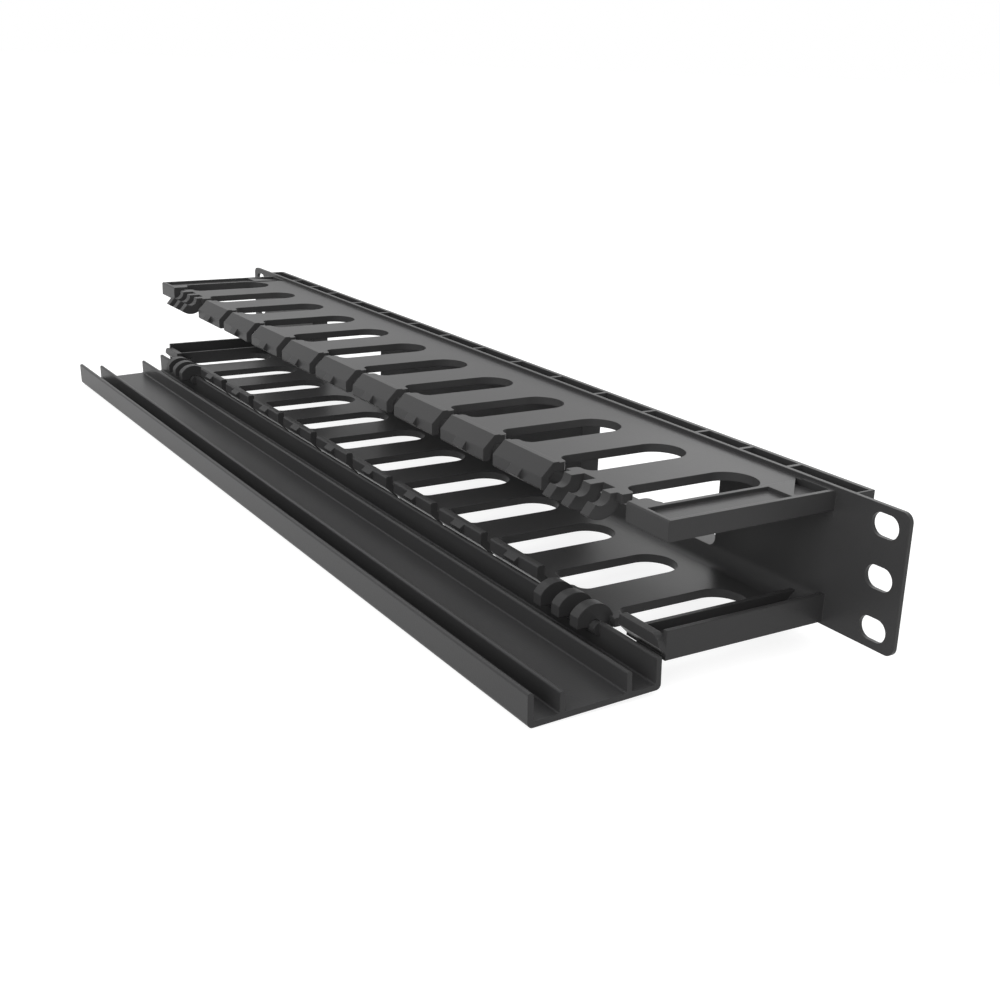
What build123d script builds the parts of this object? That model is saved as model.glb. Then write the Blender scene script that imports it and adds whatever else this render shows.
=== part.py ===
from build123d import *
from math import cos, radians, sin
import os

# Horizontal cable manager, one rack unit high, with a hinged front cover.
# Frame: X runs along the 19 inch length, Y runs from the front to the rear, Z is up.
# The origin is the centre of the panel's front face, in the plane of the rack ears.
# All sizes are in millimetres.

# Rack panel and ears
PANEL_LENGTH = 482.6
PANEL_HEIGHT = 43.7
PANEL_THICK = 1.5
EAR_WIDTH = 28.3
EAR_CORNER_R = 3.0
EAR_HOLE_EDGE = 8.75
EAR_HOLE_PITCH = 15.875
EAR_HOLE_LENGTH = 10.4
EAR_HOLE_HEIGHT = 7.2

# Rear frame that stiffens the back wall
FRAME_BEYOND_DUCT = 7.0
FRAME_DEPTH = 6.8
FRAME_WALL = 1.6
FRAME_RAIL = 6.2
FRAME_POCKET_DEPTH = 4.4
FRAME_RIB = 1.6
RIB_PITCH = 29.3
RIBS_PER_SIDE = 5
END_RIB_PITCH = 22.0
END_RIBS_PER_SIDE = 2
WALL_RIBS_PER_SIDE = 2
WALL_RIB_STEP = 1.5

# Cable windows through the back wall
WINDOW_INNER_X = 83.5
WINDOW_WIDTH = 78.5
WINDOW_HEIGHT = 29.4
WINDOW_R = 3.0

# Finger plates, upper and lower
PLATE_STEP = 1.25
PLATE_THICK = 2.8
PLATE_FRONT = 60.0
CORNER_FILLET = 6.0
PITCH = 34.7
END_FINGER_MIN = 4.0
SLOT_WIDTH = 17.6
SLOT_FRONT = 55.0
SLOT_REAR = 13.0
SLOT_FRONT_R = 3.5
NOTCH_WIDTH = 6.0
NOTCH_R = 1.6

# Finger heads
HEAD_RISE = 0.3
HEAD_SLOPE = 4.3
HEAD_DEPTH = 8.5
HEAD_LIP = 2.8
HEAD_LIP_R = 1.0
NUB_WIDTH = 6.6
NUB_REACH = 1.8
NUB_TALL = 2.4
NUB_ABOVE_TIP = 0.5
END_HEAD_SETBACK = 1.7
END_HEAD_DEPTH = 6.2
END_LIP_DEPTH = 7.5
END_LIP_R = 4.0
END_WALL = 1.6
END_WALL_DEPTH = 9.0
TROUGH_DEPTH = 1.2

# Hinge: a bead on the cover's lip turns in three round jaws on a finger of the lower row
HINGE_AHEAD = 0.7
BEAD_R = 2.0
BEAD_CLEARANCE = 0.1
JAW_WALL = 5.0
JAW_WIDTH = 4.0
JAW_INSET = 2.5
JAWS_PER_HINGE = 3
JAW_BAR = 2.3
JAW_FRONT_CLEARANCE = 0.2
JAW_SIDE_CLEARANCE = 1.5
JAW_TIP_GAP = 0.1
JAW_MOUTH_MARGIN = 55.0
SEAT_CLEARANCE = 0.9
SEAT_ANGLE = 130.0

# Cover
COVER_OVER_PANEL = 0.25
COVER_OVER_DUCT = 2.0
COVER_DEPTH = 8.1
COVER_SKIN = 1.8
COVER_CORNER_R = 1.6
COVER_LIP_THICK = 1.8
COVER_LIP_HEIGHT = 10.2
COVER_NECK_THICK = 1.3
COVER_NECK_LENGTH = 2.7
COVER_RIB_IN = 11.0
COVER_RIB_HEIGHT = 8.2
COVER_RIB_THICK = 1.6
COVER_REST_ANGLE = 92.0

# Places that follow from the sizes above
EAR_HOLE_X = PANEL_LENGTH / 2 - EAR_HOLE_EDGE
DUCT_HALF = PANEL_LENGTH / 2 - EAR_WIDTH
FRAME_HALF_LENGTH = DUCT_HALF + FRAME_BEYOND_DUCT
FRAME_REAR = PANEL_THICK + FRAME_DEPTH
PLATE_OUTER = PANEL_HEIGHT / 2 - PLATE_STEP
PLATE_INNER = PLATE_OUTER - PLATE_THICK
WINDOW_OUTER_X = WINDOW_INNER_X + WINDOW_WIDTH
WINDOW_TOP = PANEL_HEIGHT / 2 - FRAME_POCKET_DEPTH - FRAME_WALL
WINDOW_BOTTOM = WINDOW_TOP - WINDOW_HEIGHT
SLOTS_PER_SIDE = int((DUCT_HALF - END_FINGER_MIN) / PITCH)
SLOTS_PER_ROW = 2 * SLOTS_PER_SIDE
END_FINGER_X = SLOTS_PER_SIDE * PITCH - (PITCH - NOTCH_WIDTH) / 2
END_SLOT_EDGE = (SLOTS_PER_SIDE - 0.5) * PITCH + SLOT_WIDTH / 2
HALF_HEAD = (PITCH - NOTCH_WIDTH) / 2
HEAD_FRONT = PLATE_FRONT + HEAD_SLOPE
HEAD_TOP = PLATE_OUTER + HEAD_RISE
HEAD_SHOULDER = HEAD_TOP - HEAD_SLOPE
HEAD_TIP = HEAD_TOP - HEAD_DEPTH
END_HEAD_FRONT = HEAD_FRONT - END_HEAD_SETBACK
HINGE_FINGER = SLOTS_PER_SIDE - 1
JAW_LEFT = HINGE_FINGER * PITCH - HALF_HEAD + JAW_INSET
JAW_RIGHT = HINGE_FINGER * PITCH + HALF_HEAD - JAW_INSET
JAW_PITCH = (JAW_RIGHT - JAW_LEFT - JAW_WIDTH) / (JAWS_PER_HINGE - 1)
COVER_HALF_LENGTH = DUCT_HALF + COVER_OVER_DUCT
COVER_HALF_WIDTH = PANEL_HEIGHT / 2 + COVER_OVER_PANEL
HINGE_Y = -(HEAD_FRONT + HINGE_AHEAD)
HINGE_Z = COVER_HALF_WIDTH - BEAD_R
COVER_FACE = HINGE_Y - COVER_DEPTH
JAW_BORE_R = BEAD_R + BEAD_CLEARANCE
JAW_R = JAW_BORE_R + JAW_WALL
JAW_FRONT = COVER_FACE + COVER_SKIN + JAW_FRONT_CLEARANCE
JAW_ROOT = -(SLOT_FRONT + JAW_BAR)
SEAT_R = BEAD_R + SEAT_CLEARANCE


def extrude_x(points, x_low, x_high):
    """A solid with the outline points (y, z), from x_low to x_high."""
    face = make_face(Polyline(*[(y, z) for y, z in points], close=True))
    solid = extrude(Plane.YZ * face, amount=x_high - x_low)
    return Pos(x_low, 0, 0) * solid


def box(x0, x1, y0, y1, z0, z1):
    """A block between two corners."""
    block = Box(x1 - x0, y1 - y0, z1 - z0)
    return Pos((x0 + x1) / 2, (y0 + y1) / 2, (z0 + z1) / 2) * block


def rod_x(radius, x0, x1, y, z):
    """A round bar along X."""
    bar = Cylinder(radius, x1 - x0, rotation=(0, 90, 0))
    return Pos((x0 + x1) / 2, y, z) * bar


def upright(shape):
    """The same shape turned over, for the lower row."""
    return mirror(shape, about=Plane.XY)


def other_end(shape):
    """The same shape at the other end of the panel."""
    return mirror(shape, about=Plane.YZ)


def rounded_panel(x0, x1, z0, z1, y0, y1, radius):
    """A block with corners rounded in the front view."""
    face = RectangleRounded(x1 - x0, z1 - z0, radius)
    solid = extrude(Plane.XZ * face, amount=-(y1 - y0))
    return Pos((x0 + x1) / 2, y0, (z0 + z1) / 2) * solid


def slot_cutter():
    """Cutter for one cable slot at X = 0, open to the front by a narrow notch."""
    half = SLOT_WIDTH / 2
    y_round = -(SLOT_REAR + half)
    y_mid = (y_round - SLOT_FRONT) / 2
    body = Pos(0, y_mid) * Rectangle(SLOT_WIDTH, SLOT_FRONT + y_round)
    corners = [v for v in body.vertices() if v.Y < y_mid]
    body = fillet(corners, SLOT_FRONT_R)
    body = body + Pos(0, y_round) * Circle(half)
    notch_end = HEAD_FRONT + 3
    notch = Pos(0, -(SLOT_FRONT - 4 + notch_end) / 2) * Rectangle(NOTCH_WIDTH, notch_end - SLOT_FRONT + 4)
    outline = body + notch
    at_front = [v for v in outline.vertices() if abs(v.Y + SLOT_FRONT) < 0.1]
    mouth = [v for v in at_front if abs(abs(v.X) - NOTCH_WIDTH / 2) < 0.1]
    if mouth:
        outline = fillet(mouth, NOTCH_R)
    return Pos(0, 0, HEAD_TIP - 5) * extrude(outline, amount=HEAD_DEPTH + 10)


def head_profile():
    """Outline (y, z) of a finger head of the upper row: ridge, slope and hanging lip."""
    back = -SLOT_FRONT
    front = -HEAD_FRONT
    behind_lip = front + HEAD_LIP
    return [
        (back, PLATE_OUTER),
        (-PLATE_FRONT + 2 + HEAD_RISE, PLATE_OUTER),
        (-PLATE_FRONT + 2, HEAD_TOP),
        (-PLATE_FRONT, HEAD_TOP),
        (front, HEAD_SHOULDER),
        (front, HEAD_TIP + HEAD_LIP_R / 2),
        (front + HEAD_LIP_R / 2, HEAD_TIP),
        (behind_lip - HEAD_LIP_R / 2, HEAD_TIP),
        (behind_lip, HEAD_TIP + HEAD_LIP_R / 2),
        (behind_lip, PLATE_INNER - 2),
        (behind_lip + 2, PLATE_INNER),
        (back, PLATE_INNER),
    ]


def finger_head(x):
    """One head of the upper row with the small catch in its middle."""
    head = extrude_x(head_profile(), x - HALF_HEAD, x + HALF_HEAD)
    front = -HEAD_FRONT
    inside = front + HEAD_LIP / 2
    catch = [
        (inside, HEAD_SHOULDER),
        (front, HEAD_SHOULDER),
        (front - NUB_REACH, HEAD_SHOULDER - NUB_TALL),
        (front, HEAD_TIP + NUB_ABOVE_TIP),
        (inside, HEAD_TIP + NUB_ABOVE_TIP),
    ]
    return head + extrude_x(catch, x - NUB_WIDTH / 2, x + NUB_WIDTH / 2)


def sector(y, z, start, stop, reach, x0, x1):
    """A wedge about (y, z) from one angle to another, measured from the rear upwards."""
    steps = 4
    points = [(y, z)]
    for index in range(steps + 1):
        angle = radians(start + (stop - start) * index / steps)
        points.append((y + reach * cos(angle), z + reach * sin(angle)))
    return extrude_x(points, x0, x1)


def jaw(x0):
    """One round jaw of the lower row, open to the front and below for the cover's lip."""
    x1 = x0 + JAW_WIDTH
    ring = rod_x(JAW_R, x0, x1, HINGE_Y, -HINGE_Z)
    neck = box(x0, x1, HINGE_Y, JAW_ROOT + JAW_BAR / 2, -HINGE_Z, -PLATE_INNER)
    mouth_end = 180 + COVER_REST_ANGLE + JAW_MOUTH_MARGIN
    mouth = sector(HINGE_Y, -HINGE_Z + JAW_TIP_GAP, 180, mouth_end, 2 * JAW_R, x0 - 1, x1 + 1)
    front = box(x0 - 1, x1 + 1, HINGE_Y - 2 * JAW_R, JAW_FRONT, -3 * JAW_R, 0)
    low = -PANEL_HEIGHT / 2
    below = box(x0 - 1, x1 + 1, HINGE_Y - 2 * JAW_R, 0, low - 2 * JAW_R, low)
    bore = rod_x(JAW_BORE_R, x0 - 1, x1 + 1, HINGE_Y, -HINGE_Z)
    return (ring + neck) - [mouth, front, below, bore]


def seat(x0):
    """One half-round seat of the upper row for the cover's free edge."""
    x1 = x0 + JAW_WIDTH
    ring = rod_x(JAW_R, x0, x1, HINGE_Y, HINGE_Z)
    mouth = sector(HINGE_Y, HINGE_Z, 0, 360 - SEAT_ANGLE, 2 * JAW_R, x0 - 1, x1 + 1)
    front = box(x0 - 1, x1 + 1, HINGE_Y - 2 * JAW_R, JAW_FRONT, 0, 3 * JAW_R)
    neck = box(x0, x1, HINGE_Y + 3, JAW_ROOT + JAW_BAR / 2, PLATE_INNER, PLATE_OUTER)
    bore = rod_x(SEAT_R, x0 - 1, x1 + 1, HINGE_Y, HINGE_Z)
    return (ring - [mouth, front] + neck) - bore


def hinge_head(lower):
    """Jaws or seats on the last finger of the right half, in place of a plain head."""
    shapes = []
    for index in range(JAWS_PER_HINGE):
        x0 = JAW_LEFT + index * JAW_PITCH
        shapes.append(jaw(x0) if lower else seat(x0))
    return shapes


def hinge_gap():
    """Cutter that sets the front of the hinge finger back between its jaws or seats."""
    x0 = JAW_LEFT + JAW_WIDTH
    x1 = JAW_RIGHT - JAW_WIDTH
    return box(x0, x1, -PLATE_FRONT - 1, JAW_ROOT, PLATE_INNER - 1, PLATE_OUTER + 1)


def end_head(lower):
    """The front of the half finger that closes a row at the right end, drawn for the upper row."""
    x0 = END_FINGER_X
    front = -END_HEAD_FRONT
    back = 1 - SLOT_FRONT
    if lower:
        tip = HEAD_TOP - END_LIP_DEPTH
        outline = [
            (back, HEAD_TOP),
            (front + HEAD_SLOPE, HEAD_TOP),
            (front, HEAD_SHOULDER),
            (front, tip),
            (front + HEAD_LIP, tip),
            (front + HEAD_LIP, PLATE_INNER),
            (back, PLATE_INNER),
        ]
        head = extrude_x(outline, x0, DUCT_HALF)
        centre_x = DUCT_HALF - END_LIP_R
        centre_z = tip + END_LIP_R
        shoulder = box(centre_x, DUCT_HALF + 1, front - 1, front + HEAD_LIP + 0.01, tip - 1, centre_z)
        round_bar = Cylinder(END_LIP_R, HEAD_LIP + 2, rotation=(90, 0, 0))
        shoulder = shoulder - Pos(centre_x, front + HEAD_LIP / 2, centre_z) * round_bar
        return head - shoulder
    outline = [
        (back, HEAD_TOP),
        (front + 0.5, HEAD_TOP),
        (front, HEAD_TOP - 0.5),
        (front, HEAD_TOP - END_HEAD_DEPTH),
        (front + HEAD_LIP, HEAD_TOP - END_HEAD_DEPTH),
        (front + HEAD_LIP, PLATE_INNER),
        (back, PLATE_INNER),
    ]
    return extrude_x(outline, x0, DUCT_HALF)


def end_walls(outer_depth):
    """The two walls along the half finger, the outer one as deep as asked."""
    x0 = END_SLOT_EDGE
    x1 = DUCT_HALF
    front = HEAD_LIP - END_HEAD_FRONT - 0.5
    slot_side = box(x0, x0 + END_WALL, front, 0.5, HEAD_TOP - END_HEAD_DEPTH, HEAD_TOP)
    outer = box(x1 - END_WALL, x1, front, 0.5, HEAD_TOP - outer_depth, HEAD_TOP)
    top = box(x0, x1, front, 0.5, PLATE_OUTER - 1, HEAD_TOP)
    return slot_side + outer + top


def end_trough():
    """Shallow trough and rear pocket in the outer side of the half finger."""
    x0 = END_SLOT_EDGE + END_WALL
    x1 = DUCT_HALF - END_WALL
    rear = SLOT_REAR + 2 * END_WALL
    floor = HEAD_TOP - TROUGH_DEPTH
    trough = box(x0, x1, END_WALL - END_HEAD_FRONT, -rear, floor, HEAD_TOP + 3)
    y0 = -rear + END_WALL
    y1 = -0.9 * END_WALL
    corner = make_face(Polyline((x0 - 4.0, y1), (x1, y1), (x1, y0), (x1 - 1.0, y0), close=True))
    pocket = Pos(0, 0, PLATE_INNER + END_WALL / 2) * extrude(corner, amount=2 * PLATE_THICK)
    return trough + pocket


def finger_row(lower):
    """One plate with its slots and heads, in place for the upper or the lower row."""
    front = -(PLATE_FRONT - 0.5)
    plate = box(-DUCT_HALF, DUCT_HALF, front, 1.0, PLATE_INNER, PLATE_OUTER)
    heads = []
    for index in range(-HINGE_FINGER + 1, HINGE_FINGER):
        heads.append(finger_head(index * PITCH))
    end = end_head(lower) + end_walls(END_WALL_DEPTH if lower else END_HEAD_DEPTH)
    row = plate + heads + [end, other_end(end)]
    cutter = slot_cutter()
    cutters = [hinge_gap(), other_end(hinge_gap())]
    for index in range(SLOTS_PER_ROW):
        x = (index - (SLOTS_PER_ROW - 1) / 2) * PITCH
        cutters.append(Pos(x, 0, 0) * cutter)
    row = row - cutters
    hinge = hinge_head(lower)
    hinge = hinge + [other_end(shape) for shape in hinge]
    if lower:
        return upright(row) + hinge
    row = row + hinge
    return row - [end_trough(), other_end(end_trough())]


def duct_plates():
    """Both finger plates with their slots, heads, jaws and end fingers."""
    return finger_row(False) + finger_row(True)


def inner_corner(x0, x1):
    """Rounded corner between the upper plate and the back wall."""
    block = box(x0, x1, -CORNER_FILLET, 0.5, PLATE_INNER - CORNER_FILLET, PLATE_INNER + 0.5)
    return block - rod_x(CORNER_FILLET, x0 - 1, x1 + 1, -CORNER_FILLET, PLATE_INNER - CORNER_FILLET)


def rib_places():
    """Places along X of the ribs in the right half of the rear frame's rails."""
    places = [RIB_PITCH * (index + 1) for index in range(RIBS_PER_SIDE)]
    for index in range(END_RIBS_PER_SIDE):
        places.append(RIB_PITCH * RIBS_PER_SIDE + END_RIB_PITCH * (index + 1))
    return places


def rear_rail():
    """The upper rail of the rear frame, an open channel crossed by ribs."""
    half = PANEL_HEIGHT / 2
    rail = box(-FRAME_HALF_LENGTH, FRAME_HALF_LENGTH, PANEL_THICK - 0.5, FRAME_REAR, half - FRAME_RAIL, half)
    y0 = PANEL_THICK
    y1 = FRAME_REAR - FRAME_WALL
    right = rib_places()
    ribs = [-x for x in reversed(right)] + [0.0] + right
    stops = [-FRAME_HALF_LENGTH] + ribs + [FRAME_HALF_LENGTH]
    pockets = []
    for left, right in zip(stops[:-1], stops[1:]):
        x0 = left + FRAME_RIB / 2
        x1 = right - FRAME_RIB / 2
        pockets.append(box(x0, x1, y0, y1, half - FRAME_POCKET_DEPTH, half + 1))
    return rail - pockets


def window_frame(grow, y0, y1):
    """Outline block of the right window, larger all round by grow."""
    radius = WINDOW_R + grow
    x0 = WINDOW_INNER_X - grow
    x1 = WINDOW_OUTER_X + grow
    return rounded_panel(x0, x1, WINDOW_BOTTOM - grow, WINDOW_TOP + grow, y0, y1, radius)


def back_wall():
    """Panel with ears, rear frame and cable windows."""
    half = PANEL_LENGTH / 2
    tall = PANEL_HEIGHT / 2
    panel = rounded_panel(-half, half, -tall, tall, 0, PANEL_THICK, EAR_CORNER_R)
    rail = rear_rail()
    end_x = FRAME_HALF_LENGTH - FRAME_WALL
    end = box(end_x, FRAME_HALF_LENGTH, PANEL_THICK - 0.5, FRAME_REAR, -tall + 1, tall - 1)
    jamb = window_frame(FRAME_WALL, PANEL_THICK - 0.5, FRAME_REAR)
    wall = panel + [rail, upright(rail), end, other_end(end), jamb, other_end(jamb)]
    rib_top = tall - FRAME_RAIL + 0.5
    rib_rear = FRAME_REAR - WALL_RIB_STEP
    places = rib_places()
    for x in [0.0] + places[:WALL_RIBS_PER_SIDE] + places[-1:]:
        rib = box(x - FRAME_RIB / 2, x + FRAME_RIB / 2, PANEL_THICK - 0.5, rib_rear, -rib_top, rib_top)
        wall = wall + rib
        if x > 0:
            wall = wall + other_end(rib)
    opening = window_frame(0, -CORNER_FILLET - 2, FRAME_REAR + 1)
    wall = wall - [opening, other_end(opening)]
    holes = []
    for side in (-1, 1):
        for row in (-1, 0, 1):
            shape = SlotOverall(EAR_HOLE_LENGTH, EAR_HOLE_HEIGHT)
            hole = extrude(Plane.XZ * shape, amount=-(PANEL_THICK + 2))
            holes.append(Pos(side * EAR_HOLE_X, -1, row * EAR_HOLE_PITCH) * hole)
    return wall - holes


def duct_body():
    """The whole moulded body in one piece."""
    corner = inner_corner(-DUCT_HALF, DUCT_HALF)
    opening = window_frame(0, -CORNER_FILLET - 2, FRAME_REAR + 1)
    corners = (corner + upright(corner)) - [opening, other_end(opening)]
    return duct_plates() + back_wall() + corners


def cover_edge():
    """Outline of the upper edge of the cover, seen along X: the lip and the inner rib."""
    w = COVER_HALF_WIDTH
    lip = Pos(COVER_FACE + COVER_LIP_HEIGHT / 2, w - COVER_LIP_THICK / 2)
    lip = lip * Rectangle(COVER_LIP_HEIGHT, COVER_LIP_THICK)
    rib = Pos(COVER_FACE + COVER_RIB_HEIGHT / 2, w - COVER_RIB_IN)
    return lip + rib * Rectangle(COVER_RIB_HEIGHT, COVER_RIB_THICK)


def cover_section():
    """Closed outline of the cover strip, seen along X, with the cover shut."""
    w = COVER_HALF_WIDTH
    inner = COVER_FACE + COVER_SKIN
    edge = cover_edge()
    skin = Pos(COVER_FACE + COVER_SKIN / 2, 0) * Rectangle(COVER_SKIN, 2 * w)
    outline = skin + edge + mirror(edge, about=Plane.XZ)
    tips = [v for v in outline.vertices() if v.X > inner + 1]
    outline = fillet(tips, 0.45 * min(COVER_RIB_THICK, COVER_LIP_THICK))
    roots = [v for v in outline.vertices() if abs(v.X - inner) < 0.05 and abs(v.Y) < w - 0.1]
    outline = fillet(roots, COVER_SKIN / 3)
    face_corners = [v for v in outline.vertices() if abs(v.X - COVER_FACE) < 0.05]
    return fillet(face_corners, COVER_CORNER_R)


def hinge_room():
    """The part of the lower lip that is cut away where the jaws hold the cover."""
    x0 = JAW_LEFT - JAW_SIDE_CLEARANCE
    x1 = JAW_RIGHT + JAW_SIDE_CLEARANCE
    neck_start = HINGE_Y - COVER_NECK_LENGTH
    w = COVER_HALF_WIDTH
    return box(x0, x1, neck_start, HINGE_Y + COVER_LIP_HEIGHT, -w - 1, COVER_LIP_THICK + 1 - w)


def hinge_bead():
    """Round bead on a thin neck that turns in the jaws, on the cover's lower lip."""
    x0 = JAW_LEFT - JAW_SIDE_CLEARANCE
    x1 = JAW_RIGHT + JAW_SIDE_CLEARANCE
    inner_z = COVER_LIP_THICK - COVER_HALF_WIDTH
    neck = box(x0, x1, HINGE_Y - COVER_NECK_LENGTH - 0.5, HINGE_Y, inner_z - COVER_NECK_THICK, inner_z)
    return neck + rod_x(BEAD_R, x0 - 1, x1 + 1, HINGE_Y, -HINGE_Z)


def cover():
    """The hinged cover, turned down about the lower jaws to its rest pose."""
    strip = extrude(Plane.YZ * cover_section(), amount=2 * COVER_HALF_LENGTH)
    strip = Pos(-COVER_HALF_LENGTH, 0, 0) * strip
    strip = strip - [hinge_room(), other_end(hinge_room())]
    strip = strip + [hinge_bead(), other_end(hinge_bead())]
    pivot = Pos(0, HINGE_Y, -HINGE_Z)
    return pivot * Rot(COVER_REST_ANGLE, 0, 0) * pivot.inverse() * strip


def main():
    os.makedirs("parts", exist_ok=True)
    parts = {"duct_body": duct_body(), "cover": cover()}
    for name, shape in parts.items():
        solids = shape.solids()
        print(name, len(solids), "solid(s)", round(shape.volume), "mm3", shape.bounding_box())
        export_step(shape, f"parts/{name}.step")


main()
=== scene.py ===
import math

import bpy
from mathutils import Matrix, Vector


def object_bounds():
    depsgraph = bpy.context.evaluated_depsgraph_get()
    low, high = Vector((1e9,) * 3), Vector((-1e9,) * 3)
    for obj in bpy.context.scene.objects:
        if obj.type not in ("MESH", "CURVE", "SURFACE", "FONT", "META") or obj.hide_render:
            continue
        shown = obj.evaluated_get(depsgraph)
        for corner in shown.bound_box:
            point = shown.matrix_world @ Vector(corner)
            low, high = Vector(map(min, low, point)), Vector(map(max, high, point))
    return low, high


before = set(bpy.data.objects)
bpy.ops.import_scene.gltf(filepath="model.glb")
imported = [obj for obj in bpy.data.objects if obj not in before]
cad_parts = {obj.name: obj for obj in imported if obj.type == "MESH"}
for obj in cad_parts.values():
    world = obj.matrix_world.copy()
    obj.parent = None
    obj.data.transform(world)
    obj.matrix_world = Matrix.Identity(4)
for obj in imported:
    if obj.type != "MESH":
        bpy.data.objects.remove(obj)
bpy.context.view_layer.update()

# Lengths are in metres, angles in degrees and lamp powers in watts.

# Camera, at the photograph's view of the object
CAMERA_PLACE = (0.47647, -0.28203, 0.13679)
CAMERA_TURN = (71.7084, -2.0096, 57.8775)
CAMERA_SENSOR = 36.0
CAMERA_LENS = 48.038
CAMERA_SHIFT = (-0.0145, 0.0033)
CAMERA_NEAREST = 0.01
CAMERA_FARTHEST = 200.0

# Floor: its colour in the light, and its shadow and glow as the camera sees it
FLOOR_DROP = 0.0005
FLOOR_SIZE = 60.0
FLOOR_GREY = (0.6, 0.6, 0.6, 1.0)
SHADOW_GREY = (0.3, 0.3, 0.3, 1.0)
FLOOR_GLOW = 0.86

# Sky: its strength near the floor and overhead, and the heights between which it changes
WHITE = (1.0, 1.0, 1.0, 1.0)
BACKGROUND_STRENGTH = 1.0
SKY_LOW = 0.3
SKY_HIGH = 1.0
SKY_LOW_HEIGHT = 0.12
SKY_HIGH_HEIGHT = 0.6

# Soft lamps, all facing the object: name, place, size and power
LAMP_TARGET = (0.0, 0.0, 0.0)
LAMPS = [
    ("back", (-2.4, 3.8, 2.8), 3.5, 55.0),
    ("far", (-3.8, 0.2, 3.0), 2.0, 10.0),
    ("key", (0.2, 0.6, 1.8), 1.2, 10.0),
    ("fill", (1.0, -1.9, 0.8), 1.4, 23.0),
]

# Plastic: a nearly neutral black with a soft gloss
PLASTIC_DARK = (0.03, 0.03, 0.031, 1.0)
PLASTIC_LIGHT = (0.047, 0.0465, 0.0465, 1.0)
PLASTIC_IOR = 1.5
PLASTIC_GLOSS = 0.12
FLOW_SCALE = 14.0
FLOW_DETAIL = 4.0
ROUGH_LOW = 0.3
ROUGH_HIGH = 0.42
GRAIN_SCALE = 1400.0
GRAIN_DETAIL = 2.0
GRAIN_STRENGTH = 0.25
GRAIN_HEIGHT = 0.0001
EDGE_RADIUS = 0.0004
EDGE_SAMPLES = 6

# Finish of each CAD node
FINISHES = {"duct_body": "duct_plastic", "cover": "cover_plastic"}


def new_material(name):
    """An empty node material and its node tree."""
    material = bpy.data.materials.new(name)
    material.use_nodes = True
    tree = material.node_tree
    tree.nodes.clear()
    return material, tree


def add_node(tree, kind, **values):
    """A new shader node with some of its inputs set."""
    node = tree.nodes.new(kind)
    for name, value in values.items():
        node.inputs[name.replace("_", " ")].default_value = value
    return node


def add_camera():
    """The camera at the photograph's viewing angle."""
    data = bpy.data.cameras.new("camera")
    data.sensor_width = CAMERA_SENSOR
    data.lens = CAMERA_LENS
    data.shift_x, data.shift_y = CAMERA_SHIFT
    data.clip_start = CAMERA_NEAREST
    data.clip_end = CAMERA_FARTHEST
    camera = bpy.data.objects.new("camera", data)
    camera.location = CAMERA_PLACE
    camera.rotation_euler = [math.radians(angle) for angle in CAMERA_TURN]
    bpy.context.scene.collection.objects.link(camera)
    bpy.context.scene.camera = camera


def white_background(tree, usual, seen, target):
    """Shows one shader to the camera, in reflections and through clear material, and another as light."""
    path = add_node(tree, "ShaderNodeLightPath")
    either = add_node(tree, "ShaderNodeMath")
    either.operation = "MAXIMUM"
    tree.links.new(path.outputs["Is Camera Ray"], either.inputs[0])
    tree.links.new(path.outputs["Is Transmission Ray"], either.inputs[1])
    any_of_three = add_node(tree, "ShaderNodeMath")
    any_of_three.operation = "MAXIMUM"
    tree.links.new(either.outputs[0], any_of_three.inputs[0])
    tree.links.new(path.outputs["Is Glossy Ray"], any_of_three.inputs[1])
    mix = add_node(tree, "ShaderNodeMixShader")
    tree.links.new(any_of_three.outputs[0], mix.inputs[0])
    tree.links.new(usual.outputs[0], mix.inputs[1])
    tree.links.new(seen.outputs[0], mix.inputs[2])
    tree.links.new(mix.outputs[0], target)


def add_world():
    """A soft sky, brighter overhead than near the floor, and pure white to the camera."""
    sky = bpy.data.worlds.new("studio")
    sky.use_nodes = True
    tree = sky.node_tree
    tree.nodes.clear()
    out = add_node(tree, "ShaderNodeOutputWorld")
    light = add_node(tree, "ShaderNodeBackground", Color=WHITE)
    way = add_node(tree, "ShaderNodeTexCoord")
    parts = add_node(tree, "ShaderNodeSeparateXYZ")
    tree.links.new(way.outputs["Generated"], parts.inputs[0])
    level = add_node(
        tree,
        "ShaderNodeMapRange",
        From_Min=SKY_LOW_HEIGHT,
        From_Max=SKY_HIGH_HEIGHT,
        To_Min=SKY_LOW,
        To_Max=SKY_HIGH,
    )
    tree.links.new(parts.outputs["Z"], level.inputs["Value"])
    tree.links.new(level.outputs["Result"], light.inputs["Strength"])
    plain = add_node(tree, "ShaderNodeBackground", Color=WHITE, Strength=BACKGROUND_STRENGTH)
    white_background(tree, light, plain, out.inputs["Surface"])
    bpy.context.scene.world = sky


def add_floor():
    """A wide plain floor just below the object, white to the camera but for a soft shadow."""
    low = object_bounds()[0]
    z = low[2] - FLOOR_DROP
    half = FLOOR_SIZE / 2
    mesh = bpy.data.meshes.new("floor")
    corners = [(-half, -half, z), (half, -half, z), (half, half, z), (-half, half, z)]
    mesh.from_pydata(corners, [], [(0, 1, 2, 3)])
    obj = bpy.data.objects.new("floor", mesh)
    bpy.context.scene.collection.objects.link(obj)
    material, tree = new_material("floor_white")
    out = add_node(tree, "ShaderNodeOutputMaterial")
    paper = add_node(tree, "ShaderNodeBsdfDiffuse", Color=FLOOR_GREY)
    shade = add_node(tree, "ShaderNodeBsdfDiffuse", Color=SHADOW_GREY)
    glow = add_node(tree, "ShaderNodeEmission", Color=WHITE, Strength=FLOOR_GLOW)
    both = add_node(tree, "ShaderNodeAddShader")
    tree.links.new(shade.outputs[0], both.inputs[0])
    tree.links.new(glow.outputs[0], both.inputs[1])
    white_background(tree, paper, both, out.inputs["Surface"])
    mesh.materials.append(material)


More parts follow.
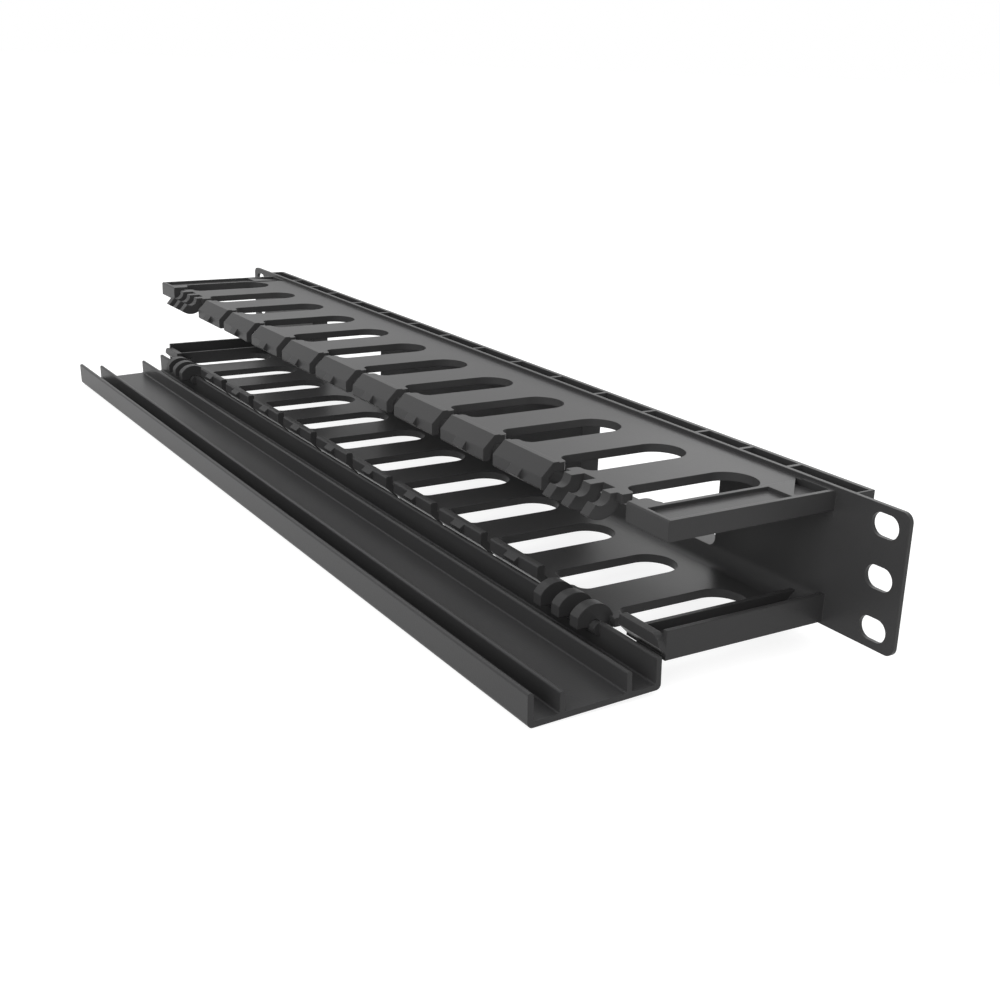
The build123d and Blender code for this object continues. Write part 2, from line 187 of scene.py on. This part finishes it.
def add_lamp(name, place, size, power):
    """A square soft lamp that faces the object."""
    data = bpy.data.lights.new(name, "AREA")
    data.shape = "SQUARE"
    data.size = size
    data.energy = power
    lamp = bpy.data.objects.new(name, data)
    lamp.location = place
    aim = Vector(LAMP_TARGET) - Vector(place)
    lamp.rotation_euler = aim.to_track_quat("-Z", "Y").to_euler()
    bpy.context.scene.collection.objects.link(lamp)


def plastic(name):
    """Moulded black plastic with a fine grain, faint flow marks and softly rounded edges."""
    material, tree = new_material(name)
    links = tree.links
    out = add_node(tree, "ShaderNodeOutputMaterial")
    body = add_node(tree, "ShaderNodeBsdfPrincipled", IOR=PLASTIC_IOR, Specular_IOR_Level=PLASTIC_GLOSS)
    links.new(body.outputs[0], out.inputs["Surface"])
    place = add_node(tree, "ShaderNodeTexCoord")
    flow = add_node(tree, "ShaderNodeTexNoise", Scale=FLOW_SCALE, Detail=FLOW_DETAIL)
    links.new(place.outputs["Object"], flow.inputs["Vector"])
    tint = add_node(tree, "ShaderNodeMix")
    tint.data_type = "RGBA"
    tint.inputs["A"].default_value = PLASTIC_DARK
    tint.inputs["B"].default_value = PLASTIC_LIGHT
    links.new(flow.outputs["Fac"], tint.inputs["Factor"])
    links.new(tint.outputs["Result"], body.inputs["Base Color"])
    rough = add_node(tree, "ShaderNodeMapRange", To_Min=ROUGH_LOW, To_Max=ROUGH_HIGH)
    links.new(flow.outputs["Fac"], rough.inputs["Value"])
    links.new(rough.outputs["Result"], body.inputs["Roughness"])
    grain = add_node(tree, "ShaderNodeTexNoise", Scale=GRAIN_SCALE, Detail=GRAIN_DETAIL)
    links.new(place.outputs["Object"], grain.inputs["Vector"])
    edge = add_node(tree, "ShaderNodeBevel", Radius=EDGE_RADIUS)
    edge.samples = EDGE_SAMPLES
    bump = add_node(tree, "ShaderNodeBump", Strength=GRAIN_STRENGTH, Distance=GRAIN_HEIGHT)
    links.new(edge.outputs["Normal"], bump.inputs["Normal"])
    links.new(grain.outputs["Fac"], bump.inputs["Height"])
    links.new(bump.outputs["Normal"], body.inputs["Normal"])
    return material


def dress(node, material):
    """Gives every material slot of a CAD node its finish."""
    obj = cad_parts[node]
    if not obj.data.materials:
        obj.data.materials.append(material)
    for slot in obj.material_slots:
        slot.material = material


bpy.context.scene.view_settings.view_transform = "Standard"
add_camera()
add_world()
add_floor()
for lamp in LAMPS:
    add_lamp(*lamp)
for node, finish in FINISHES.items():
    dress(node, plastic(finish))
